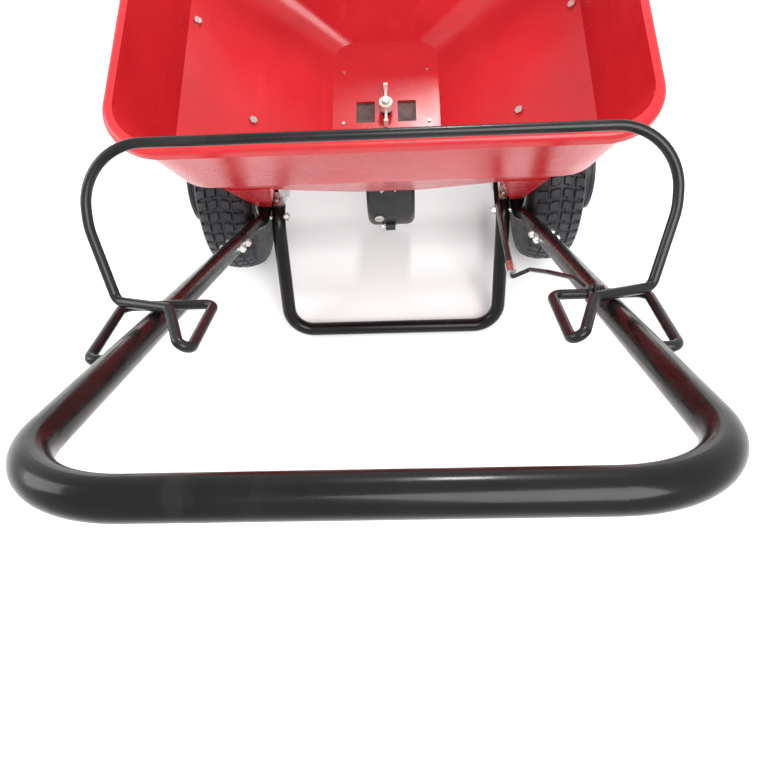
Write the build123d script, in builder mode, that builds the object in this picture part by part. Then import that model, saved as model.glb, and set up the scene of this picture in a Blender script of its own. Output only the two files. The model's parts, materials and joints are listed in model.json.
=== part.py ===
"""Walk-behind broadcast spreader with a moulded hopper, pneumatic wheels and a control bail.

Millimetres, +Z up, +X to the operator's right, +Y forwards. The origin is on the ground, under the
middle of the overall box. The operator stands behind the cross bar, at -Y.
"""

import os
from math import atan2, cos, degrees, radians, sin, tan

from build123d import *

os.makedirs("parts", exist_ok=True)

# ---- driving dimensions ---------------------------------------------------------------------
AXLE_Y = 206.0            # axle line, forward of the origin
AXLE_Z = 164.0            # axle height, which is the tyre's rolling radius
AXLE_R = 8.0

TUBE_R = 12.7             # handle and stand tube, 1 in
TUBE_WALL = 1.5
LOWER_R = 11.1            # lower tubes plug into the handle
LOWER_WALL = 1.5

BAR_Y = AXLE_Y - 696.0    # handle cross bar centreline
BAR_Z = 892.0
HANDLE_SLOPE = 50.55      # degrees below horizontal, going forward
HANDLE_HALF = 199.6       # half the distance between the legs' centrelines at the cross bar
HANDLE_SPREAD = 0.053     # how much each leg moves outwards per millimetre along it
HANDLE_BEND = 78.0
HANDLE_END = 775.0        # the legs' length along the slope
LOWER_START = 662.0       # where the lower tubes begin, inside the handle

RAIL_Z = 190.0            # horizontal stretches of the stand frame and lower tubes
RAIL_X = 204.0
RAIL_FRONT = AXLE_Y + 150.0
STAND_Y = AXLE_Y - 248.0  # bottom bar of the stand
LEG_TOP_Y = AXLE_Y - 104.0
LOWER_X = RAIL_X + TUBE_R + LOWER_R + 0.3

RIM_Z = 645.0             # top of the hopper
RIM_HALF_X = 312.0
RIM_HALF_Y = 296.0
HOPPER_FLOOR_Z = 340.0
HOPPER_WALL = 4.0
OUTLET_X = 34.0           # centre of each outlet window, either side of the shaft
OUTLET_W = 30.0
OUTLET_L = 42.0

WHEEL_X = 289.5           # centre plane of each tyre
TYRE_R = AXLE_Z
TYRE_HALF = 46.0
RIM_R = 76.0
HUB_CAP_END = 368.0

RING_TEETH = 60
PINION_TEETH = 12
MODULE = 2.5

BAIL_R = 4.75
BAIL_PIVOT_U = 210.0
SHUTTER_STROKE = 46.2     # the bail's full swing draws the shutter this far back

UPRIGHT_YS = (AXLE_Y - 70.0, AXLE_Y + 75.0)   # steel uprights under the hopper
BRACE_Y = AXLE_Y + 134.0


def save(part, label):
    """Labels one finished piece and writes it to its own file."""
    part.label = label
    export_step(part, f"parts/{label}.step")


# The handle's plane: local x is across, local y runs down the slope, local z is its upward normal.
slope = radians(HANDLE_SLOPE)
handle_plane = Plane(origin=(0, BAR_Y, BAR_Z), x_dir=(1, 0, 0), z_dir=(0, sin(slope), cos(slope)))


def leg_x(along):
    """Distance of a handle leg's centreline from the middle, this far along the slope."""
    return HANDLE_HALF + HANDLE_SPREAD * along


def world(x, along, up):
    """A point given in the handle's plane, in the part's own frame."""
    return handle_plane.from_local_coords(Vector(x, along, up))


# ---- frame ----------------------------------------------------------------------------------
JOINT_BOLTS = (700.0, 750.0)      # along the slope, through handle and lower tube

with BuildPart() as handle:
    with BuildLine(handle_plane) as handle_line:
        FilletPolyline(
            (-leg_x(HANDLE_END), HANDLE_END, 0),
            (-HANDLE_HALF, 0, 0),
            (HANDLE_HALF, 0, 0),
            (leg_x(HANDLE_END), HANDLE_END, 0),
            radius=HANDLE_BEND,
        )
    with BuildSketch(Plane(origin=handle_line.line @ 0, z_dir=handle_line.line % 0)):
        Circle(TUBE_R)
        Circle(TUBE_R - TUBE_WALL, mode=Mode.SUBTRACT)
    sweep()
    for along in JOINT_BOLTS:
        with Locations(Plane(origin=world(0, along, 0), z_dir=(1, 0, 0))):
            Cylinder(3.3, 700, mode=Mode.SUBTRACT)
    with Locations(Plane(origin=world(0, BAIL_PIVOT_U, 0), z_dir=(1, 0, 0))):
        with Locations((0, 0, leg_x(BAIL_PIVOT_U) + TUBE_R), (0, 0, -leg_x(BAIL_PIVOT_U) - TUBE_R)):
            Cylinder(BAIL_R + 0.1, 2 * TUBE_R - 4, mode=Mode.SUBTRACT)
save(handle.part, "handle")

RAIL_BOLTS = (AXLE_Y - 98.0, AXLE_Y + 44.0)
BRACKET_BOLTS = (AXLE_Y - 24.0, AXLE_Y + 24.0)
FOOT_BOLTS = (AXLE_Y - 63.0, AXLE_Y + 63.0)
LOWER_FRONT = AXLE_Y + 115.0

for side, name in ((-1, "left"), (1, "right")):
    with BuildPart() as lower_tube:
        with BuildLine() as lower_line:
            FilletPolyline(
                world(side * leg_x(LOWER_START), LOWER_START, 0),
                world(side * leg_x(782), 782, 0),
                (side * (LOWER_X + 6.5), AXLE_Y - 142, 238),
                (side * LOWER_X, AXLE_Y - 104, RAIL_Z),
                (side * LOWER_X, LOWER_FRONT, RAIL_Z),
                radius=[40, 60, 50],
            )
        with BuildSketch(Plane(origin=lower_line.line @ 0, z_dir=lower_line.line % 0)):
            Circle(LOWER_R)
            Circle(LOWER_R - LOWER_WALL, mode=Mode.SUBTRACT)
        sweep()
        for along in JOINT_BOLTS:
            with Locations(Plane(origin=world(side * leg_x(along), along, 0), z_dir=(1, 0, 0))):
                Cylinder(3.3, 60, mode=Mode.SUBTRACT)
        for bolt_y in RAIL_BOLTS:
            with Locations(Plane(origin=(side * LOWER_X, bolt_y, RAIL_Z), z_dir=(1, 0, 0))):
                Cylinder(4.2, 60, mode=Mode.SUBTRACT)
        for bolt_y in FOOT_BOLTS:
            with Locations((side * LOWER_X, bolt_y, RAIL_Z)):
                Cylinder(3.3, 60, mode=Mode.SUBTRACT)
    save(lower_tube.part, f"lower_tube_{name}")

with BuildPart() as stand_frame:
    with BuildLine() as stand_line:
        FilletPolyline(
            (-RAIL_X, RAIL_FRONT, RAIL_Z),
            (-RAIL_X, LEG_TOP_Y, RAIL_Z),
            (-RAIL_X, STAND_Y, TUBE_R),
            (RAIL_X, STAND_Y, TUBE_R),
            (RAIL_X, LEG_TOP_Y, RAIL_Z),
            (RAIL_X, RAIL_FRONT, RAIL_Z),
            radius=[55, 46, 46, 55],
        )
    with BuildSketch(Plane(origin=stand_line.line @ 0, z_dir=stand_line.line % 0)):
        Circle(TUBE_R)
        Circle(TUBE_R - TUBE_WALL, mode=Mode.SUBTRACT)
    sweep()
    for bolt_y in RAIL_BOLTS:
        with Locations(Plane(origin=(0, bolt_y, RAIL_Z), z_dir=(1, 0, 0))):
            Cylinder(4.2, 2 * RAIL_X + 60, mode=Mode.SUBTRACT)
    for bolt_y in (*BRACKET_BOLTS, *UPRIGHT_YS, BRACE_Y):
        with Locations((-RAIL_X, bolt_y, RAIL_Z), (RAIL_X, bolt_y, RAIL_Z)):
            Cylinder(3.3, 60, mode=Mode.SUBTRACT)
save(stand_frame.part, "stand_frame")

with BuildPart() as rail_end_caps:
    for side in (-1, 1):
        with BuildSketch(Plane(origin=(side * RAIL_X, RAIL_FRONT, RAIL_Z), z_dir=(0, 1, 0))):
            Circle(TUBE_R)
        extrude(amount=4)
        with BuildSketch(Plane(origin=(side * RAIL_X, RAIL_FRONT, RAIL_Z), z_dir=(0, -1, 0))):
            Circle(TUBE_R - TUBE_WALL)
        extrude(amount=12)
save(rail_end_caps.part, "rail_end_caps")

BRACE_T = 5.0
BRACE_W = 32.0
with BuildPart() as cross_brace:
    with Locations((0, BRACE_Y, RAIL_Z + TUBE_R + BRACE_T / 2)):
        Box(2 * RAIL_X + 20, BRACE_W, BRACE_T)
    fillet(cross_brace.edges().filter_by(Axis.Z), 8)
    with Locations((-RAIL_X, BRACE_Y, RAIL_Z + TUBE_R), (RAIL_X, BRACE_Y, RAIL_Z + TUBE_R), (0, BRACE_Y, RAIL_Z)):
        Cylinder(3.3, 40, mode=Mode.SUBTRACT)
save(cross_brace.part, "cross_brace")


def bolt_and_nut(radius, grip, head_r, head_h, nut_h, round_head=False):
    """A bolt and its nut on local Z: the head sits at z = 0 and the nut starts at z = -grip."""
    with BuildPart(mode=Mode.PRIVATE) as bolt:
        with BuildSketch(Plane.XY.offset(-grip - nut_h - 2)):
            Circle(radius)
        extrude(amount=grip + nut_h + 2)
        with BuildSketch():
            if round_head:
                Circle(head_r)
            else:
                RegularPolygon(head_r, 6)
        extrude(amount=head_h)
        if round_head:
            fillet(bolt.edges().group_by(Axis.Z)[-1], head_h * 0.7)
    with BuildPart(mode=Mode.PRIVATE) as nut:
        with BuildSketch(Plane.XY.offset(-grip - nut_h)):
            RegularPolygon(head_r, 6)
            Circle(radius, mode=Mode.SUBTRACT)
        extrude(amount=nut_h)
    return bolt.part, nut.part


def bolt_set(name, groups, radius, head_r, head_h, nut_h, round_head=False):
    """Writes one node of bolts and one of nuts. Each group is a list of planes and the grip they share."""
    bolts = []
    nuts = []
    for places, grip in groups:
        bolt, nut = bolt_and_nut(radius, grip, head_r, head_h, nut_h, round_head)
        bolts.extend(place.location * bolt for place in places)
        nuts.extend(place.location * nut for place in places)
    save(Compound(bolts), f"{name}_bolts")
    save(Compound(nuts), f"{name}_nuts")


joint_places = []
for side in (-1, 1):
    for along in JOINT_BOLTS:
        head = world(side * (leg_x(along) + TUBE_R + 0.6), along, 0)
        joint_places.append(Plane(origin=head, z_dir=(side, 0, 0)))
bolt_set("handle_joint", [(joint_places, 2 * TUBE_R + 1.2)], 3.2, 5.8, 4.5, 5.5)

rail_places = []
for side in (-1, 1):
    for bolt_y in RAIL_BOLTS:
        head = (side * (LOWER_X + LOWER_R + 1.0), bolt_y, RAIL_Z)
        rail_places.append(Plane(origin=head, z_dir=(side, 0, 0)))
bolt_set("rail_side", [(rail_places, 2 * TUBE_R + 2 * LOWER_R + 1.6)], 4.0, 7.0, 2.3, 6.5, round_head=True)

SUPPORT_T = 4.0
RAIL_TOP = RAIL_Z + TUBE_R
bracket_places = []
upright_places = []
brace_places = []
for side in (-1, 1):
    for bolt_y in BRACKET_BOLTS:
        bracket_places.append(Plane(origin=(side * RAIL_X, bolt_y, RAIL_TOP + 0.1), z_dir=(0, 0, 1)))
    for bolt_y in UPRIGHT_YS:
        upright_places.append(Plane(origin=(side * RAIL_X, bolt_y, RAIL_TOP + SUPPORT_T + 0.2), z_dir=(0, 0, 1)))
    brace_places.append(Plane(origin=(side * RAIL_X, BRACE_Y, RAIL_TOP + BRACE_T + 0.2), z_dir=(0, 0, 1)))
ARM_T = 3.0
arm_place = Plane(origin=(0, BRACE_Y, RAIL_TOP + BRACE_T + ARM_T + 0.2), z_dir=(0, 0, 1))
rail_top_groups = [
    (bracket_places, RAIL_TOP + 0.2 - AXLE_Z + 14),
    (upright_places, 2 * TUBE_R + SUPPORT_T + 0.4),
    (brace_places, 2 * TUBE_R + BRACE_T + 0.4),
    ([arm_place], BRACE_T + ARM_T + 0.4),
]
bolt_set("rail_top", rail_top_groups, 3.0, 5.8, 4.2, 5.0)

# ---- axle brackets and bushings ---------------------------------------------------------------
BRACKET_T = 24.0
BUSHING_R = 11.0
for side, name in ((-1, "left"), (1, "right")):
    with BuildPart() as axle_bracket:
        with BuildSketch(Plane(origin=(side * RAIL_X, AXLE_Y, AXLE_Z), x_dir=(0, 1, 0), z_dir=(1, 0, 0))):
            with Locations((0, 3)):
                Rectangle(66, 34)
            Circle(BUSHING_R, mode=Mode.SUBTRACT)
        extrude(amount=BRACKET_T / 2, both=True)
        fillet(axle_bracket.edges().filter_by(Axis.X).group_by(Axis.Z)[0], 9)
        with Locations(Plane(origin=(side * RAIL_X, AXLE_Y, RAIL_Z), z_dir=(0, 1, 0))):
            Cylinder(TUBE_R + 0.1, 80, mode=Mode.SUBTRACT)
        with Locations(*[(side * RAIL_X, bolt_y, AXLE_Z) for bolt_y in BRACKET_BOLTS]):
            Cylinder(3.2, 60, mode=Mode.SUBTRACT)
    save(axle_bracket.part, f"axle_bracket_{name}")
    with BuildPart() as axle_bushing:
        with BuildSketch(Plane(origin=(side * (RAIL_X - BRACKET_T / 2 - 3), AXLE_Y, AXLE_Z), z_dir=(side, 0, 0))):
            Circle(15)
        extrude(amount=3)
        with BuildSketch(Plane(origin=(side * (RAIL_X - BRACKET_T / 2), AXLE_Y, AXLE_Z), z_dir=(side, 0, 0))):
            Circle(BUSHING_R)
        extrude(amount=BRACKET_T + 4)
        with Locations(Plane(origin=(side * RAIL_X, AXLE_Y, AXLE_Z), z_dir=(1, 0, 0))):
            Cylinder(AXLE_R + 0.1, 80, mode=Mode.SUBTRACT)
    save(axle_bushing.part, f"axle_bushing_{name}")

# ---- axle and wheels --------------------------------------------------------------------------
AXLE_HALF = 357.0
PIN_X = 341.0
RETAINER_X = 352.0
RING_PIN_X = 33.0
with BuildPart() as axle:
    with BuildSketch(Plane(origin=(-AXLE_HALF, AXLE_Y, AXLE_Z), z_dir=(1, 0, 0))):
        Circle(AXLE_R)
    extrude(amount=2 * AXLE_HALF)
    chamfer(axle.edges().filter_by(GeomType.CIRCLE), 1)
    with Locations((-PIN_X, AXLE_Y, AXLE_Z)):
        Cylinder(2.5, 40, mode=Mode.SUBTRACT)
    with Locations((RETAINER_X, AXLE_Y, AXLE_Z), (RING_PIN_X, AXLE_Y, AXLE_Z)):
        Cylinder(2.0, 40, mode=Mode.SUBTRACT)
save(axle.part, "axle")


def wheel_plane(side):
    """Local x is outwards along the axle, local y is up."""
    return Plane(origin=(0, AXLE_Y, AXLE_Z), x_dir=(side, 0, 0), z_dir=(0, -side, 0))


def valve_plane(side):
    """The tyre valve's axis, leaning inwards from the top of the rim."""
    return Plane(origin=(side * (WHEEL_X - 20), AXLE_Y, AXLE_Z + RIM_R + 2), z_dir=(-side * 0.35, 0, -1))


HUB_R = 17.0
HUB_BORE = 11.0
for side, name in ((-1, "left"), (1, "right")):
    bore = AXLE_R + 0.05 if side < 0 else HUB_BORE
    with BuildPart() as rim:
        with BuildSketch(wheel_plane(side)):
            with Locations((WHEEL_X, RIM_R - 1.25)):
                Rectangle(87, 2.5)
            with Locations((WHEEL_X - 42.25, RIM_R + 4), (WHEEL_X + 42.25, RIM_R + 4)):
                Rectangle(2.5, 12)
            with Locations((WHEEL_X, (HUB_R + RIM_R) / 2 - 1)):
                Rectangle(4, RIM_R - HUB_R)
            with Locations((WHEEL_X + 4, (HUB_R + bore) / 2)):
                Rectangle(108, HUB_R - bore)
        revolve(axis=Axis((0, AXLE_Y, AXLE_Z), (1, 0, 0)))
        if side < 0:
            with Locations((-PIN_X, AXLE_Y, AXLE_Z)):
                Cylinder(2.5, 60, mode=Mode.SUBTRACT)
        with Locations(valve_plane(side)):
            Cylinder(4.0, 60, mode=Mode.SUBTRACT)
    save(rim.part, f"rim_{name}")
    with BuildPart() as tyre:
        with BuildSketch(wheel_plane(side)):
            with BuildLine():
                outer = ThreePointArc((WHEEL_X - 40, 86), (WHEEL_X - 46, 122), (WHEEL_X - 36, 156))
                crown = ThreePointArc(outer @ 1, (WHEEL_X, TYRE_R), (WHEEL_X + 36, 156))
                side_wall = ThreePointArc(crown @ 1, (WHEEL_X + 46, 122), (WHEEL_X + 40, 86))
                Polyline(side_wall @ 1, (WHEEL_X + 40, RIM_R + 0.1), (WHEEL_X + 31, RIM_R + 0.1), (WHEEL_X + 32, 88))
                inner = ThreePointArc((WHEEL_X + 32, 88), (WHEEL_X + 39, 120), (WHEEL_X + 30, 149))
                belt = ThreePointArc(inner @ 1, (WHEEL_X, 156), (WHEEL_X - 30, 149))
                ThreePointArc(belt @ 1, (WHEEL_X - 39, 120), (WHEEL_X - 32, 88))
                Polyline((WHEEL_X - 32, 88), (WHEEL_X - 31, RIM_R + 0.1), (WHEEL_X - 40, RIM_R + 0.1), outer @ 0)
            make_face()
        revolve(axis=Axis((0, AXLE_Y, AXLE_Z), (1, 0, 0)))
    save(tyre.part, f"tyre_{name}")
    with BuildPart() as hub_cap:
        with BuildSketch(wheel_plane(side)):
            with BuildLine():
                Polyline(
                    (WHEEL_X + 22, 70), (WHEEL_X + 22, 73.2), (WHEEL_X + 41, 73.2), (WHEEL_X + 41, 69),
                    (HUB_CAP_END - 6, 69), (HUB_CAP_END - 6, 71), (HUB_CAP_END, 71), (HUB_CAP_END, 62),
                    (HUB_CAP_END - 5, 58), (HUB_CAP_END - 5, 0), (HUB_CAP_END - 8, 0), (HUB_CAP_END - 8, 66),
                    (WHEEL_X + 42, 66), (WHEEL_X + 38, 70), close=True,
                )
            make_face()
        revolve(axis=Axis((0, AXLE_Y, AXLE_Z), (1, 0, 0)))
    save(hub_cap.part, f"hub_cap_{name}")
    with BuildPart() as valve:
        with BuildSketch(valve_plane(side)):
            Circle(4.0)
        extrude(amount=24)
    save(valve.part, f"valve_{name}")

with BuildPart() as wheel_bushings:
    for inner_x, outward in ((WHEEL_X - 50, 1), (WHEEL_X + 58, -1)):
        with BuildSketch(Plane(origin=(inner_x, AXLE_Y, AXLE_Z), z_dir=(outward, 0, 0))):
            Circle(HUB_BORE)
            Circle(AXLE_R + 0.1, mode=Mode.SUBTRACT)
        extrude(amount=20)
save(wheel_bushings.part, "wheel_bushings")

with BuildPart() as drive_pin:
    with Locations((-PIN_X, AXLE_Y, AXLE_Z)):
        Cylinder(2.5, 42)
save(drive_pin.part, "drive_pin")

with BuildPart() as retaining_pin:
    with Locations((RETAINER_X, AXLE_Y, AXLE_Z)):
        Cylinder(2.0, 26)
save(retaining_pin.part, "retaining_pin")

# ---- hopper -----------------------------------------------------------------------------------
# Outer half sizes and corner radius at the flat bottom, at the top of the sloping floor and at the rim.
HOPPER_LEVELS = (
    (HOPPER_FLOOR_Z, 92.0, 150.0, 40.0),
    (472.0, 296.0, 224.0, 60.0),
    (RIM_Z - 8, 303.0, 287.0, 64.0),
)
FLOOR_SLOPE = degrees(atan2(472.0 - HOPPER_FLOOR_Z, 296.0 - 92.0))
FRONT_BOLT_X = 285.0
FLOOR_T = HOPPER_WALL * (cos(radians(FLOOR_SLOPE)) + sin(radians(FLOOR_SLOPE)))


def floor_z(x):
    """Height of the sloping floor's underside, this far from the middle."""
    return HOPPER_FLOOR_Z + (x - 92.0) * tan(radians(FLOOR_SLOPE))


def floor_plane(side, x, y):
    """A plane just above the floor's upper face, facing into the hopper."""
    normal = Vector(-side * sin(radians(FLOOR_SLOPE)), 0, cos(radians(FLOOR_SLOPE)))
    return Plane(origin=Vector(side * x, y, floor_z(x)) + normal * (FLOOR_T + 0.1), z_dir=normal)


FLOOR_BOLT_PLACES = [
    floor_plane(side, x, y) for side in (-1, 1) for x, y in zip((RAIL_X, FRONT_BOLT_X), UPRIGHT_YS)
]
FOOT_X = 227.3
GUIDE_X = 70.0
GUIDE_SCREW_YS = (AXLE_Y - 22.0, AXLE_Y + 82.0)

with BuildPart() as hopper:
    for level_z, half_x, half_y, corner in HOPPER_LEVELS:
        with BuildSketch(Plane.XY.offset(level_z)):
            with Locations((0, AXLE_Y)):
                RectangleRounded(2 * half_x, 2 * half_y, corner)
    loft(ruled=True)
    for side in (-1, 1):
        for end in (-1, 1):
            with BuildSketch(Plane.XY.offset(RAIL_Z + LOWER_R + 0.4)):
                with Locations((side * FOOT_X, AXLE_Y + end * 63)):
                    RectangleRounded(27, 42, 5)
            with BuildSketch(Plane.XY.offset(440)):
                with Locations((side * 194, AXLE_Y + end * 180)):
                    RectangleRounded(74, 56, 10)
            loft()
    with BuildSketch(Plane.XY.offset(RIM_Z - 13)):
        with Locations((0, AXLE_Y)):
            RectangleRounded(2 * RIM_HALF_X, 2 * RIM_HALF_Y, 72)
    extrude(amount=13)
    fillet(hopper.edges().group_by(Axis.Z)[-1], 7)
    for level_z, half_x, half_y, corner in HOPPER_LEVELS:
        with BuildSketch(Plane.XY.offset(level_z + HOPPER_WALL)):
            with Locations((0, AXLE_Y)):
                RectangleRounded(2 * (half_x - HOPPER_WALL), 2 * (half_y - HOPPER_WALL), corner - HOPPER_WALL)
    loft(ruled=True, mode=Mode.SUBTRACT)
    with BuildSketch(Plane.XY.offset(RIM_Z - 5)):
        with Locations((0, AXLE_Y)):
            RectangleRounded(2 * 299.0, 2 * 283.0, 60)
    extrude(amount=10, mode=Mode.SUBTRACT)
    for side in (-1, 1):
        for end in (-1, 1):
            with BuildSketch(Plane.XY.offset(RAIL_Z + LOWER_R + 6)):
                with Locations((side * FOOT_X, AXLE_Y + end * 54)):
                    Rectangle(20, 52)
            with BuildSketch(Plane.XY.offset(372)):
                with Locations((side * 204, AXLE_Y + end * 117)):
                    Rectangle(50, 98)
            loft(mode=Mode.SUBTRACT)
    with Locations((-OUTLET_X, AXLE_Y, HOPPER_FLOOR_Z), (OUTLET_X, AXLE_Y, HOPPER_FLOOR_Z)):
        Box(OUTLET_W, OUTLET_L, 30, mode=Mode.SUBTRACT)
    with Locations((0, AXLE_Y, HOPPER_FLOOR_Z)):
        Cylinder(9, 30, mode=Mode.SUBTRACT)
    for place in FLOOR_BOLT_PLACES:
        with Locations(place):
            Cylinder(3.3, 30, mode=Mode.SUBTRACT)
    for side in (-1, 1):
        for foot_y in FOOT_BOLTS:
            with Locations((side * LOWER_X, foot_y, RAIL_Z + LOWER_R)):
                Cylinder(3.3, 30, mode=Mode.SUBTRACT)
        for screw_y in GUIDE_SCREW_YS:
            with Locations((side * GUIDE_X, screw_y, HOPPER_FLOOR_Z)):
                Cylinder(2.5, 30, mode=Mode.SUBTRACT)
save(hopper.part, "hopper")

FLANGE_Z = RAIL_TOP + 0.1 + SUPPORT_T / 2
UPRIGHT_X = 190.0
UNDER_FLOOR = (SUPPORT_T / 2 + 0.1) / cos(radians(FLOOR_SLOPE))
for end_name, upright_y, flange_end, bolt_x in (
    ("rear", UPRIGHT_YS[0], 222.0, RAIL_X),
    ("front", UPRIGHT_YS[1], 293.0, FRONT_BOLT_X),
):
    for side, name in ((-1, "left"), (1, "right")):
        with BuildPart() as upright:
            with BuildSketch(Plane(origin=(0, upright_y, 0), x_dir=(side, 0, 0), z_dir=(0, -side, 0))):
                with BuildLine():
                    Polyline(
                        (FOOT_X - 17, FLANGE_Z),
                        (UPRIGHT_X, FLANGE_Z),
                        (UPRIGHT_X, floor_z(UPRIGHT_X) - UNDER_FLOOR),
                        (flange_end, floor_z(flange_end) - UNDER_FLOOR),
                    )
                trace(line_width=SUPPORT_T)
            extrude(amount=14, both=True)
            with Locations((side * RAIL_X, upright_y, FLANGE_Z)):
                Cylinder(3.3, 20, mode=Mode.SUBTRACT)
            with Locations(floor_plane(side, bolt_x, upright_y)):
                Cylinder(3.3, 60, mode=Mode.SUBTRACT)
        save(upright.part, f"hopper_upright_{end_name}_{name}")

bolt_set("hopper_floor", [(FLOOR_BOLT_PLACES, FLOOR_T + SUPPORT_T + 0.4)], 3.2, 6.4, 4.6, 5.5)
foot_places = []
for side in (-1, 1):
    for foot_y in FOOT_BOLTS:
        foot_places.append(Plane(origin=(side * LOWER_X, foot_y, RAIL_Z + LOWER_R + 6.1), z_dir=(0, 0, 1)))
bolt_set("hopper_foot", [(foot_places, 2 * LOWER_R + 6.2)], 3.0, 5.8, 4.2, 5.0)

# ---- gear case --------------------------------------------------------------------------------
CASE_R = 90.0
CASE_WALL = 3.0
CASE_ROUND = 14.0
CASE_LEFT = 42.0
CASE_RIGHT = 46.0
EAR_R = 95.0
EAR_ANGLES = (22.0, 140.0, 200.0, 258.0, 318.0)
EAR_T = 9.0
BOSS_BOTTOM = 248.0
BOSS_TOP = 270.0
AXLE_LINE = Axis((0, AXLE_Y, AXLE_Z), (1, 0, 0))


def ear_point(x, angle):
    """Centre of one screw ear round the gear case; the angle runs from forwards towards up."""
    return x, AXLE_Y + EAR_R * cos(radians(angle)), AXLE_Z + EAR_R * sin(radians(angle))


for side, length, name in ((-1, CASE_LEFT, "left"), (1, CASE_RIGHT, "right")):
    inner_r = CASE_R - CASE_WALL
    knee = length - CASE_ROUND
    with BuildPart() as gear_case:
        with BuildSketch(wheel_plane(side)):
            with BuildLine():
                Polyline((0.05, inner_r), (0.05, CASE_R), (knee, CASE_R))
                RadiusArc((knee, CASE_R), (length, CASE_R - CASE_ROUND), CASE_ROUND)
                Polyline(
                    (length, CASE_R - CASE_ROUND), (length, 22), (length + 5, 20), (length + 5, AXLE_R + 0.1),
                    (length - CASE_WALL, AXLE_R + 0.1), (length - CASE_WALL, CASE_R - CASE_ROUND),
                )
                RadiusArc(
                    (length - CASE_WALL, CASE_R - CASE_ROUND), (knee, inner_r), -(CASE_ROUND - CASE_WALL)
                )
                Line((knee, inner_r), (0.05, inner_r))
            make_face()
        revolve(axis=AXLE_LINE)
        with Locations(*[ear_point(side * (EAR_T / 2 + 0.05), angle) for angle in EAR_ANGLES]):
            Cylinder(8, EAR_T, rotation=(0, 90, 0))
        with Locations((0, AXLE_Y, (BOSS_BOTTOM + BOSS_TOP) / 2)):
            Cylinder(14, BOSS_TOP - BOSS_BOTTOM)
            Cylinder(9, 40, mode=Mode.SUBTRACT)
        with Locations(*[ear_point(0, angle) for angle in EAR_ANGLES]):
            Cylinder(2.6, 40, rotation=(0, 90, 0), mode=Mode.SUBTRACT)
        split(bisect_by=Plane(origin=(side * 0.05, AXLE_Y, AXLE_Z), z_dir=(side, 0, 0)), keep=Keep.TOP)
    save(gear_case.part, f"gear_case_{name}")

case_screw = bolt_and_nut(2.5, 2 * EAR_T + 0.2, 4.6, 3.4, 4.0)[0]
screw_heads = [Plane(origin=ear_point(-EAR_T - 3.4, angle), z_dir=(-1, 0, 0)) for angle in EAR_ANGLES]
save(Compound([place.location * case_screw for place in screw_heads]), "gear_case_screws")

with BuildPart() as gear_case_arm:
    ear = ear_point(0, EAR_ANGLES[0])
    with BuildSketch(Plane(origin=(-EAR_T - 0.2, AXLE_Y, 0), x_dir=(0, 1, 0), z_dir=(1, 0, 0))):
        with Locations((ear[1] - AXLE_Y, ear[2])):
            Circle(8)
        with Locations((103, 199)):
            Rectangle(28, 20)
    extrude(amount=-ARM_T)
    with Locations((-3, BRACE_Y - 5, RAIL_TOP + BRACE_T + ARM_T / 2 + 0.1)):
        Box(18.4, 44, ARM_T)
    with Locations(ear):
        Cylinder(2.6, 40, rotation=(0, 90, 0), mode=Mode.SUBTRACT)
    with Locations((0, BRACE_Y, RAIL_TOP)):
        Cylinder(3.3, 30, mode=Mode.SUBTRACT)
    with Locations((0, AXLE_Y, AXLE_Z)):
        Cylinder(CASE_R + 0.4, 60, rotation=(0, 90, 0), mode=Mode.SUBTRACT)
save(gear_case_arm.part, "gear_case_arm")

with BuildPart() as grease_plug:
    with BuildSketch(Plane(origin=(-20, AXLE_Y - CASE_R - 0.2, AXLE_Z), z_dir=(0, -1, 0))):
        Circle(9)
    extrude(amount=4)
    fillet(grease_plug.edges().group_by(Axis.Y)[0], 1.5)
    with Locations((-20, AXLE_Y - CASE_R - 4, AXLE_Z)):
        Box(12, 2, 2, mode=Mode.SUBTRACT)
save(grease_plug.part, "grease_plug")

# ---- bevel drive, from the axle up to the impeller --------------------------------------------
PINION_Z = 233.0
FACE_W = 10.0
RING_FACE_X = 17.3
PINION_R = MODULE * PINION_TEETH / 2
RING_R = MODULE * RING_TEETH / 2

with BuildPart() as ring_gear:
    with BuildSketch(wheel_plane(1)):
        with Locations((RING_FACE_X + 3.85, 46)):
            Rectangle(7.7, 76)
        with Locations((RING_FACE_X + 11.7, 13.015)):
            Rectangle(22, 9.97)
    revolve(axis=AXLE_LINE)
    tooth_planes = []
    for k in range(RING_TEETH):
        turn = radians((k + 0.5) * 360 / RING_TEETH)
        out = Vector(0, sin(turn), cos(turn))
        foot = Vector(RING_FACE_X, AXLE_Y, AXLE_Z) + out * (RING_R - FACE_W / 2)
        tooth_planes.append(Plane(origin=foot, x_dir=(0, cos(turn), -sin(turn)), z_dir=out))
    with BuildSketch(*tooth_planes):
        Polygon((-2.5, -0.4), (2.5, -0.4), (2.5, 0), (1.7, 2.3), (1.1, 4.2), (-1.1, 4.2), (-1.7, 2.3), (-2.5, 0), align=None)
    extrude(amount=FACE_W)
    with Locations((RING_PIN_X, AXLE_Y, AXLE_Z)):
        Cylinder(2.0, 60, mode=Mode.SUBTRACT)
save(ring_gear.part, "ring_gear")

with BuildPart() as ring_gear_pin:
    with Locations((RING_PIN_X, AXLE_Y, AXLE_Z)):
        Cylinder(1.95, 35)
save(ring_gear_pin.part, "ring_gear_pin")

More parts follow.
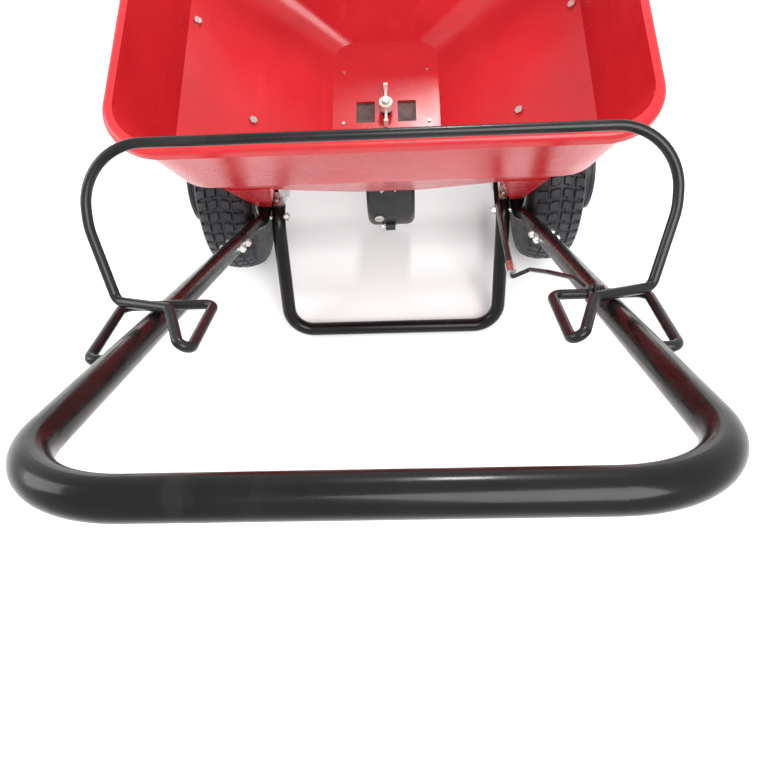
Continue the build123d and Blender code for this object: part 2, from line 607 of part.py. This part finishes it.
with BuildPart() as drive_pinion:
    with BuildSketch(Plane.XY.offset(PINION_Z)):
        with Locations((0, AXLE_Y)):
            Circle(12.7)
            with PolarLocations(0, PINION_TEETH):
                Polygon((12, -2.2), (12.7, -2.2), (PINION_R, -1.5), (16.9, -0.95), (16.9, 0.95), (PINION_R, 1.5),
                        (12.7, 2.2), (12, 2.2), align=None)
            Circle(6.03, mode=Mode.SUBTRACT)
    extrude(amount=12)
    with BuildSketch(Plane.XY.offset(PINION_Z)):
        with Locations((0, AXLE_Y)):
            Circle(10)
            Circle(6.03, mode=Mode.SUBTRACT)
    extrude(amount=-7)
    with Locations((0, AXLE_Y, PINION_Z - 3.5)):
        Cylinder(1.6, 40, rotation=(0, 90, 0), mode=Mode.SUBTRACT)
save(drive_pinion.part, "drive_pinion")

SHAFT_R = 6.0
AGITATOR_Z = 360.0
IMPELLER_PIN_Z = 278.0
PIN_HEIGHTS = (PINION_Z - 3.5, IMPELLER_PIN_Z, AGITATOR_Z)
with BuildPart() as impeller_shaft:
    with BuildSketch(Plane.XY.offset(PINION_Z - 7)):
        with Locations((0, AXLE_Y)):
            Circle(SHAFT_R)
    extrude(amount=146)
    chamfer(impeller_shaft.edges().filter_by(GeomType.CIRCLE), 1)
    with Locations(*[(0, AXLE_Y, pin_z) for pin_z in PIN_HEIGHTS]):
        Cylinder(1.6, 40, rotation=(0, 90, 0), mode=Mode.SUBTRACT)
save(impeller_shaft.part, "impeller_shaft")

with BuildPart() as shaft_pins:
    with Locations(*[(0, AXLE_Y, pin_z) for pin_z in PIN_HEIGHTS]):
        Cylinder(1.55, 19, rotation=(0, 90, 0))
save(shaft_pins.part, "shaft_pins")

with BuildPart() as shaft_bushing:
    with BuildSketch(Plane.XY.offset(BOSS_BOTTOM)):
        with Locations((0, AXLE_Y)):
            Circle(8.97)
    extrude(amount=BOSS_TOP - BOSS_BOTTOM + 0.05)
    with BuildSketch(Plane.XY.offset(BOSS_TOP + 0.05)):
        with Locations((0, AXLE_Y)):
            Circle(12)
    extrude(amount=2)
    with Locations((0, AXLE_Y, BOSS_TOP)):
        Cylinder(SHAFT_R + 0.05, 80, mode=Mode.SUBTRACT)
save(shaft_bushing.part, "shaft_bushing")

IMPELLER_Z = 283.0
FIN_COUNT = 4
with BuildPart() as impeller:
    with BuildSketch(Plane.XY.offset(IMPELLER_Z)):
        with Locations((0, AXLE_Y)):
            Circle(112)
    extrude(amount=3)
    with BuildSketch(Plane.XY.offset(IMPELLER_Z - 10)):
        with Locations((0, AXLE_Y)):
            Circle(11)
    extrude(amount=30)
    with BuildSketch(Plane.XY.offset(IMPELLER_Z + 3)):
        with Locations((0, AXLE_Y)):
            with PolarLocations(0, FIN_COUNT, start_angle=45):
                with Locations((59.5, 0)):
                    Rectangle(103, 3)
    extrude(amount=20)
    with Locations((0, AXLE_Y, IMPELLER_Z)):
        Cylinder(SHAFT_R + 0.03, 80, mode=Mode.SUBTRACT)
    with Locations((0, AXLE_Y, IMPELLER_PIN_Z)):
        Cylinder(1.6, 40, rotation=(0, 90, 0), mode=Mode.SUBTRACT)
save(impeller.part, "impeller")

with BuildPart() as agitator:
    with Locations((0, AXLE_Y, AGITATOR_Z)):
        Cylinder(11, 14)
    with BuildSketch(Plane(origin=(0, AXLE_Y - 36, AGITATOR_Z - 5), z_dir=(0, 1, 0))):
        Rectangle(7, 4)
    extrude(amount=72)
    with Locations((0, AXLE_Y - 36, AGITATOR_Z), (0, AXLE_Y + 36, AGITATOR_Z)):
        Box(7, 4, 14)
    with Locations((0, AXLE_Y, AGITATOR_Z)):
        Cylinder(SHAFT_R + 0.03, 80, mode=Mode.SUBTRACT)
        Cylinder(1.6, 40, rotation=(0, 90, 0), mode=Mode.SUBTRACT)
save(agitator.part, "agitator")

# ---- shutter under the outlet windows ---------------------------------------------------------
SHUTTER_T = 3.0
SHUTTER_Z = HOPPER_FLOOR_Z - 0.3 - SHUTTER_T
SHUTTER_HALF = 61.5
ROD_X = 172.0
with BuildPart() as shutter:
    with BuildSketch(Plane.XY.offset(SHUTTER_Z)):
        with Locations((0, AXLE_Y + 7)):
            Rectangle(2 * SHUTTER_HALF, 182)
        with Locations((90, AXLE_Y - 61)):
            Rectangle(180, 46)
        with Locations((-OUTLET_X, AXLE_Y + SHUTTER_STROKE), (OUTLET_X, AXLE_Y + SHUTTER_STROKE)):
            Rectangle(OUTLET_W, OUTLET_L, mode=Mode.SUBTRACT)
        with Locations((0, AXLE_Y + 23)):
            Rectangle(13.5, 64, mode=Mode.SUBTRACT)
        with Locations((ROD_X, AXLE_Y - 59)):
            Rectangle(10, 26, mode=Mode.SUBTRACT)
    extrude(amount=SHUTTER_T)
save(shutter.part, "shutter")

GUIDE_BOTTOM = 332.5
with BuildPart() as shutter_guides:
    for side in (-1, 1):
        with BuildSketch(Plane(origin=(0, AXLE_Y - 36, 0), x_dir=(side, 0, 0), z_dir=(0, -side, 0))):
            Polygon(
                (56, GUIDE_BOTTOM), (78, GUIDE_BOTTOM), (78, HOPPER_FLOOR_Z - 0.05), (62, HOPPER_FLOOR_Z - 0.05),
                (62, SHUTTER_Z - 0.3), (56, SHUTTER_Z - 0.3), align=None,
            )
        extrude(amount=-side * 131)
    with Locations(*[(side * GUIDE_X, screw_y, GUIDE_BOTTOM) for side in (-1, 1) for screw_y in GUIDE_SCREW_YS]):
        Cylinder(2.5, 30, mode=Mode.SUBTRACT)
save(shutter_guides.part, "shutter_guides")

guide_screw = bolt_and_nut(2.4, 8, 4.6, 3.0, 4.0)[0]
guide_heads = []
for side in (-1, 1):
    for screw_y in GUIDE_SCREW_YS:
        guide_heads.append(Plane(origin=(side * GUIDE_X, screw_y, GUIDE_BOTTOM - 0.1), z_dir=(0, 0, -1)))
save(Compound([place.location * guide_screw for place in guide_heads]), "guide_screws")

# ---- control bail and rod ---------------------------------------------------------------------
FAR_BAR_N = 28.0
BAIL_HALF = (
    (leg_x(BAIL_PIVOT_U) + 4, BAIL_PIVOT_U, 0),
    (leg_x(BAIL_PIVOT_U) + 27, BAIL_PIVOT_U, 0),
    (leg_x(311) + 30, 311, 17.9),
    (leg_x(311) - 58, 311, 17.9),
    (leg_x(195) - 55, 195, 0),
    (leg_x(262) - 30, 262, FAR_BAR_N),
    (leg_x(292) + 27, 292, FAR_BAR_N),
    (262, 304, 95),
    (262, 312, 165.3),
    (0, 312, 165.3),
)
with BuildPart() as bail:
    with BuildLine(handle_plane) as bail_line:
        FilletPolyline(*BAIL_HALF, radius=[9, 10, 10, 7, 10, 10, 60, 56])
    with BuildSketch(Plane(origin=bail_line.line @ 0, z_dir=bail_line.line % 0)):
        Circle(BAIL_R)
    sweep()
    mirror(about=Plane.YZ)
save(bail.part, "bail")
ROD_PIVOT = Vector(198, AXLE_Y - 484.6, 663.2)
with BuildPart() as link_clips:
    for clip_x in (ROD_PIVOT.X - 6, ROD_PIVOT.X + 6):
        with BuildSketch(Plane(origin=(clip_x, ROD_PIVOT.Y, ROD_PIVOT.Z), z_dir=(1, 0, 0))):
            Circle(8)
            Circle(BAIL_R + 0.05, mode=Mode.SUBTRACT)
        extrude(amount=1.5, both=True)
save(link_clips.part, "link_clips")

COUPLER_START = Vector(150, AXLE_Y - 390, 518)
ROD_DIR = Vector(22, 218, -196).normalized()
COUPLER_L = 32.0
with BuildPart() as rod_coupler:
    with BuildSketch(Plane(origin=COUPLER_START, z_dir=ROD_DIR)):
        Circle(6)
    extrude(amount=COUPLER_L)
    with BuildSketch(Plane(origin=COUPLER_START + ROD_DIR * 10, z_dir=ROD_DIR)):
        Circle(4.1)
    extrude(amount=COUPLER_L, mode=Mode.SUBTRACT)
    with BuildSketch(Plane(origin=COUPLER_START - ROD_DIR, z_dir=ROD_DIR)):
        Circle(2.55)
    extrude(amount=15, mode=Mode.SUBTRACT)
save(rod_coupler.part, "rod_coupler")

ROD_R = 4.0
with BuildPart() as control_rod:
    with BuildLine() as rod_line:
        FilletPolyline(
            COUPLER_START + ROD_DIR * 10.1,
            (ROD_X, AXLE_Y - 172, 322),
            (ROD_X, AXLE_Y - 66, 322),
            (ROD_X, AXLE_Y - 66, 352),
            radius=[25, 10],
        )
    with BuildSketch(Plane(origin=rod_line.line @ 0, z_dir=rod_line.line % 0)):
        Circle(ROD_R)
    sweep()
save(control_rod.part, "control_rod")

with BuildPart() as rod_cotter:
    with Locations((ROD_X, AXLE_Y - 66, 346)):
        Cylinder(6.5, 2)
        Cylinder(ROD_R + 0.05, 10, mode=Mode.SUBTRACT)
save(rod_cotter.part, "rod_cotter")

EYE_R = 7.6
with BuildPart() as link_wire:
    with BuildLine() as wire_line:
        FilletPolyline(
            COUPLER_START + ROD_DIR * 8,
            COUPLER_START - ROD_DIR * 9,
            (166.7, AXLE_Y - 396.4, 541.6),
            (175, AXLE_Y - 424.3, 589.7),
            (189.3, AXLE_Y - 455, 636.5),
            ROD_PIVOT + Vector(0, 0.547, -0.838) * EYE_R,
            radius=[5, 6, 12, 12],
        )
    with BuildSketch(Plane(origin=wire_line.line @ 0, z_dir=wire_line.line % 0)):
        Circle(2.5)
    sweep()
    with Locations(Location(ROD_PIVOT, (0, 90, 0))):
        Torus(EYE_R, 2.5)
save(link_wire.part, "link_wire")
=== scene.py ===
"""Looks for the walk-behind broadcast spreader: materials, tyre treads, floor, light and camera."""

import json
import math

import bpy
from mathutils import Matrix, Vector


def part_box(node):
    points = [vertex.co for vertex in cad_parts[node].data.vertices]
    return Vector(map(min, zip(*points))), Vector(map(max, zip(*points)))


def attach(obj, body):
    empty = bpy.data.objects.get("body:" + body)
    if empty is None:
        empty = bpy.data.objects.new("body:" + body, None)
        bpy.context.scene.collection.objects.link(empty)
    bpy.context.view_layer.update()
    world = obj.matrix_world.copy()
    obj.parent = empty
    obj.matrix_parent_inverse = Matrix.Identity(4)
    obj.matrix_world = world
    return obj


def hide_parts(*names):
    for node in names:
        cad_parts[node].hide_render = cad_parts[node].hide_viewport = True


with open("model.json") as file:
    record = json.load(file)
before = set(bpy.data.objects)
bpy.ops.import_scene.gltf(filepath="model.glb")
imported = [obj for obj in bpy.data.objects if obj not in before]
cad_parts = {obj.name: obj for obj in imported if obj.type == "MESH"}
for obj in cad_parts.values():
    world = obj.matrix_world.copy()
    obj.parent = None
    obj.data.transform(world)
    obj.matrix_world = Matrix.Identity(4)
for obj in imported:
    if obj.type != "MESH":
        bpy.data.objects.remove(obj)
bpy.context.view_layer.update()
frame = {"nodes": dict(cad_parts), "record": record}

nodes = frame["nodes"]


# ---- materials --------------------------------------------------------------------------------
def surface(name, dark, light, rough, patch=9.0, grain=260.0, bump=0.05, depth=0.0004, scratch=0.0, **fixed):
    """A procedural material: patchy colour, uneven gloss and a fine surface grain.

    dark and light are the two ends of the colour, rough the two ends of the roughness. patch and
    grain are noise scales per metre. scratch above 0 adds long thin rubbed lines. fixed sets the
    shader's own sockets.
    """
    material = bpy.data.materials.new(name)
    material.use_nodes = True
    tree = material.node_tree
    shader = tree.nodes["Principled BSDF"]
    for socket, value in fixed.items():
        shader.inputs[socket.replace("_", " ")].default_value = value
    coords = tree.nodes.new("ShaderNodeTexCoord")

    def noise(scale, detail, stretch=None):
        texture = tree.nodes.new("ShaderNodeTexNoise")
        texture.inputs["Scale"].default_value = scale
        texture.inputs["Detail"].default_value = detail
        source = coords.outputs["Object"]
        if stretch:
            mapping = tree.nodes.new("ShaderNodeMapping")
            mapping.inputs["Scale"].default_value = stretch
            tree.links.new(source, mapping.inputs["Vector"])
            source = mapping.outputs["Vector"]
        tree.links.new(source, texture.inputs["Vector"])
        return texture.outputs["Fac"]

    def spread(value, low, high, from_low=0.3, from_high=0.7):
        node = tree.nodes.new("ShaderNodeMapRange")
        node.inputs["From Min"].default_value = from_low
        node.inputs["From Max"].default_value = from_high
        node.inputs["To Min"].default_value = low
        node.inputs["To Max"].default_value = high
        tree.links.new(value, node.inputs["Value"])
        return node.outputs["Result"]

    patches = noise(patch, 5.0)
    colours = tree.nodes.new("ShaderNodeValToRGB")
    colours.color_ramp.elements[0].position = 0.32
    colours.color_ramp.elements[0].color = (*dark, 1)
    colours.color_ramp.elements[1].position = 0.68
    colours.color_ramp.elements[1].color = (*light, 1)
    tree.links.new(patches, colours.inputs["Fac"])
    colour = colours.outputs["Color"]
    gloss = spread(noise(patch * 3.1, 6.0), rough[0], rough[1])
    height = noise(grain, 3.0)
    if scratch > 0:
        rubbed = spread(noise(38.0, 8.0, (1.0, 0.09, 1.0)), 0.0, scratch, 0.60, 0.72)
        mix = tree.nodes.new("ShaderNodeMix")
        mix.data_type = "RGBA"
        mix.inputs[7].default_value = (*[min(1.0, c * 2.2 + 0.05) for c in light], 1)
        tree.links.new(rubbed, mix.inputs["Factor"])
        tree.links.new(colour, mix.inputs[6])
        colour = mix.outputs[2]
        add = tree.nodes.new("ShaderNodeMath")
        add.operation = "ADD"
        tree.links.new(gloss, add.inputs[0])
        tree.links.new(rubbed, add.inputs[1])
        gloss = add.outputs["Value"]
    tree.links.new(colour, shader.inputs["Base Color"])
    tree.links.new(gloss, shader.inputs["Roughness"])
    relief = tree.nodes.new("ShaderNodeBump")
    relief.inputs["Strength"].default_value = bump
    relief.inputs["Distance"].default_value = depth
    tree.links.new(height, relief.inputs["Height"])
    tree.links.new(relief.outputs["Normal"], shader.inputs["Normal"])
    return material


LOOKS = {
    "black_tube": surface(
        "black_tube_paint", (0.003, 0.003, 0.003), (0.008, 0.007, 0.007), (0.20, 0.32),
        patch=14, grain=420, bump=0.10, scratch=0.08, Specular_IOR_Level=0.16, Coat_Weight=0.16, Coat_Roughness=0.10,
    ),
    "black_wire": surface(
        "black_wire_paint", (0.006, 0.006, 0.007), (0.013, 0.013, 0.014), (0.22, 0.36),
        patch=22, grain=520, bump=0.12, scratch=0.08, Specular_IOR_Level=0.22, Coat_Weight=0.15, Coat_Roughness=0.14,
    ),
    "black_plastic": surface(
        "black_moulded_plastic", (0.010, 0.010, 0.011), (0.022, 0.022, 0.024), (0.36, 0.56),
        patch=18, grain=900, bump=0.22,
    ),
    "hopper_red": surface(
        "red_moulded_plastic", (0.43, 0.012, 0.018), (0.56, 0.020, 0.026), (0.20, 0.34),
        patch=5, grain=70, bump=0.10, depth=0.0012, scratch=0.04, Specular_IOR_Level=0.38, Coat_Weight=0.10,
        Coat_Roughness=0.20,
    ),
    "tyre_black": surface(
        "tyre_rubber", (0.007, 0.007, 0.010), (0.020, 0.019, 0.026), (0.42, 0.66),
        patch=26, grain=1100, bump=0.35,
    ),
    "valve_rubber": surface(
        "valve_rubber", (0.010, 0.010, 0.010), (0.020, 0.020, 0.020), (0.5, 0.7), patch=60, grain=1500, bump=0.2,
    ),
    "rim_paint": surface(
        "rim_paint", (0.008, 0.008, 0.009), (0.016, 0.016, 0.017), (0.25, 0.42),
        patch=16, grain=500, bump=0.12, scratch=0.10, Coat_Weight=0.2,
    ),
    "nylon": surface(
        "nylon", (0.58, 0.56, 0.50), (0.72, 0.70, 0.64), (0.38, 0.52), patch=30, grain=900, bump=0.1,
    ),
    "impeller_plastic": surface(
        "impeller_plastic", (0.014, 0.014, 0.015), (0.030, 0.030, 0.031), (0.32, 0.50), patch=20, grain=700, bump=0.15,
    ),
    "axle_steel": surface(
        "bright_steel", (0.42, 0.42, 0.43), (0.60, 0.60, 0.61), (0.22, 0.38),
        patch=40, grain=800, bump=0.10, scratch=0.25, Metallic=1.0,
    ),
    "zinc_steel": surface(
        "zinc_plate", (0.52, 0.52, 0.50), (0.74, 0.73, 0.69), (0.20, 0.42),
        patch=70, grain=1600, bump=0.12, scratch=0.15, Metallic=1.0,
    ),
}

# Painted shade: the shutter plate gets a dark red-brown colour in place of its zinc, so the outlet windows read as a
# shaded recess. The rubbed lines on it are wear.
shade_and_wear_plate = surface(
    "painted_shade_and_wear_shutter_plate", (0.05, 0.035, 0.033), (0.13, 0.09, 0.085), (0.45, 0.65),
    patch=60, grain=900, bump=0.2, scratch=0.2, Metallic=0.5,
)
slots = {part["node"]: part["material_slot"] for part in frame["record"]["subparts"]}
for node_name, node in nodes.items():
    for place in node.material_slots:
        # The shutter takes the painted-shade plate instead of its zinc slot.
        place.material = shade_and_wear_plate if node_name == "shutter" else LOOKS[slots[node_name]]


# ---- tyres with tread -------------------------------------------------------------------------
AROUND = 432
LUGS = 48
GROOVE = 0.0038


def tread(turn, across):
    """How deep the tread is cut here: turn is 0 to 1 round the tyre, across is -1 to 1 over the crown."""
    if abs(across) > 1.0:
        return 0.0
    swept = (turn * LUGS + 0.35 * abs(across)) % 1.0
    cut = 1.0 if swept < 0.30 else 0.0
    rib = abs(across)
    if rib < 0.08 or 0.50 < rib < 0.58:
        cut = 1.0
    return cut * GROOVE


def tyre_profile():
    """Half widths and radii across a tyre, from one bead to the other, with a flag on the crown."""
    points = []
    for k in range(9):
        t = k / 8
        points.append((-0.040 - 0.006 * math.sin(math.pi * t * 0.9), 0.0775 + t * 0.0725, None))
    crown_points = 41
    for k in range(crown_points):
        across = -1 + 2 * k / (crown_points - 1)
        points.append((0.0385 * across, 0.164 - 0.0095 * abs(across) ** 2.4, across))
    for k in range(9):
        t = 1 - k / 8
        points.append((0.040 + 0.006 * math.sin(math.pi * t * 0.9), 0.0775 + t * 0.0725, None))
    return points


def build_tyre(name, node, body):
    low, high = (Vector(corner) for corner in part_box(node))
    centre = (low + high) / 2
    profile = tyre_profile()
    count = len(profile)
    vertices = []
    for i in range(AROUND):
        angle = 2 * math.pi * i / AROUND
        for width, radius, across in profile:
            depth = 0.0 if across is None else tread(i / AROUND, across * 1.04)
            r = radius - depth
            vertices.append((centre.x + width, centre.y + r * math.sin(angle), centre.z + r * math.cos(angle)))
    faces = []
    for i in range(AROUND):
        j = (i + 1) % AROUND
        for k in range(count):
            n = (k + 1) % count
            faces.append((i * count + k, i * count + n, j * count + n, j * count + k))
    mesh = bpy.data.meshes.new(name)
    mesh.from_pydata(vertices, [], faces)
    mesh.validate()
    mesh.update()
    piece = bpy.data.objects.new(name, mesh)
    bpy.context.collection.objects.link(piece)
    mesh.materials.append(LOOKS["tyre_black"])
    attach(piece, body)
    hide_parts(node)
    return piece


build_tyre("tyre_tread_left", "tyre_left", "drive_axle")
build_tyre("tyre_tread_right", "tyre_right", "right_wheel")

# ---- floor, light and camera --------------------------------------------------------------------
FLOOR_HALF = 6.0
floor_mesh = bpy.data.meshes.new("floor")
floor_mesh.from_pydata(
    [(x * FLOOR_HALF, y * FLOOR_HALF, 0.0) for x, y in ((-1, -1), (1, -1), (1, 1), (-1, 1))], [], [(0, 1, 2, 3)]
)
floor = bpy.data.objects.new("floor", floor_mesh)
bpy.context.collection.objects.link(floor)
floor_mesh.materials.append(
    surface("pale_floor", (0.90, 0.90, 0.90), (0.93, 0.93, 0.93), (0.85, 0.95), patch=0.6, grain=30, bump=0.0)
)

world = bpy.data.worlds.new("studio")
bpy.context.scene.world = world
world.use_nodes = True
world.node_tree.nodes["Background"].inputs["Color"].default_value = (1, 1, 1, 1)
world.node_tree.nodes["Background"].inputs["Strength"].default_value = 0.95


def lamp(name, at, target, size, power):
    light = bpy.data.lights.new(name, "AREA")
    light.shape = "RECTANGLE"
    light.size, light.size_y = size
    light.energy = power
    holder = bpy.data.objects.new(name, light)
    bpy.context.collection.objects.link(holder)
    holder.location = at
    holder.rotation_euler = (Vector(target) - Vector(at)).to_track_quat("-Z", "Y").to_euler()


lamp("key", (0.7, -1.2, 2.6), (0, 0, 0.5), (1.6, 1.6), 60)
lamp("front_strip", (0.26, 1.90, 2.20), (0.08, 0.25, 0.35), (0.25, 0.55), 30)
lamp("left_fill", (-2.4, 0.3, 1.6), (0, 0, 0.4), (1.4, 1.4), 30)

camera_data = bpy.data.cameras.new("camera")
camera_data.sensor_width = 36.0
camera_data.lens = 31.16
camera_data.shift_y = -0.0366
camera = bpy.data.objects.new("camera", camera_data)
bpy.context.collection.objects.link(camera)
right = Vector((0.9990, -0.0102, -0.0437))
forward = Vector((-0.0376, 0.3410, -0.9393)).normalized()
right = (right - forward * right.dot(forward)).normalized()
up = right.cross(forward)
turn = Matrix((right, up, -forward)).transposed().to_4x4()
camera.matrix_world = Matrix.Translation((0.02076, -0.53543, 1.22605)) @ turn
bpy.context.scene.camera = camera
bpy.context.scene.view_settings.view_transform = "Standard"
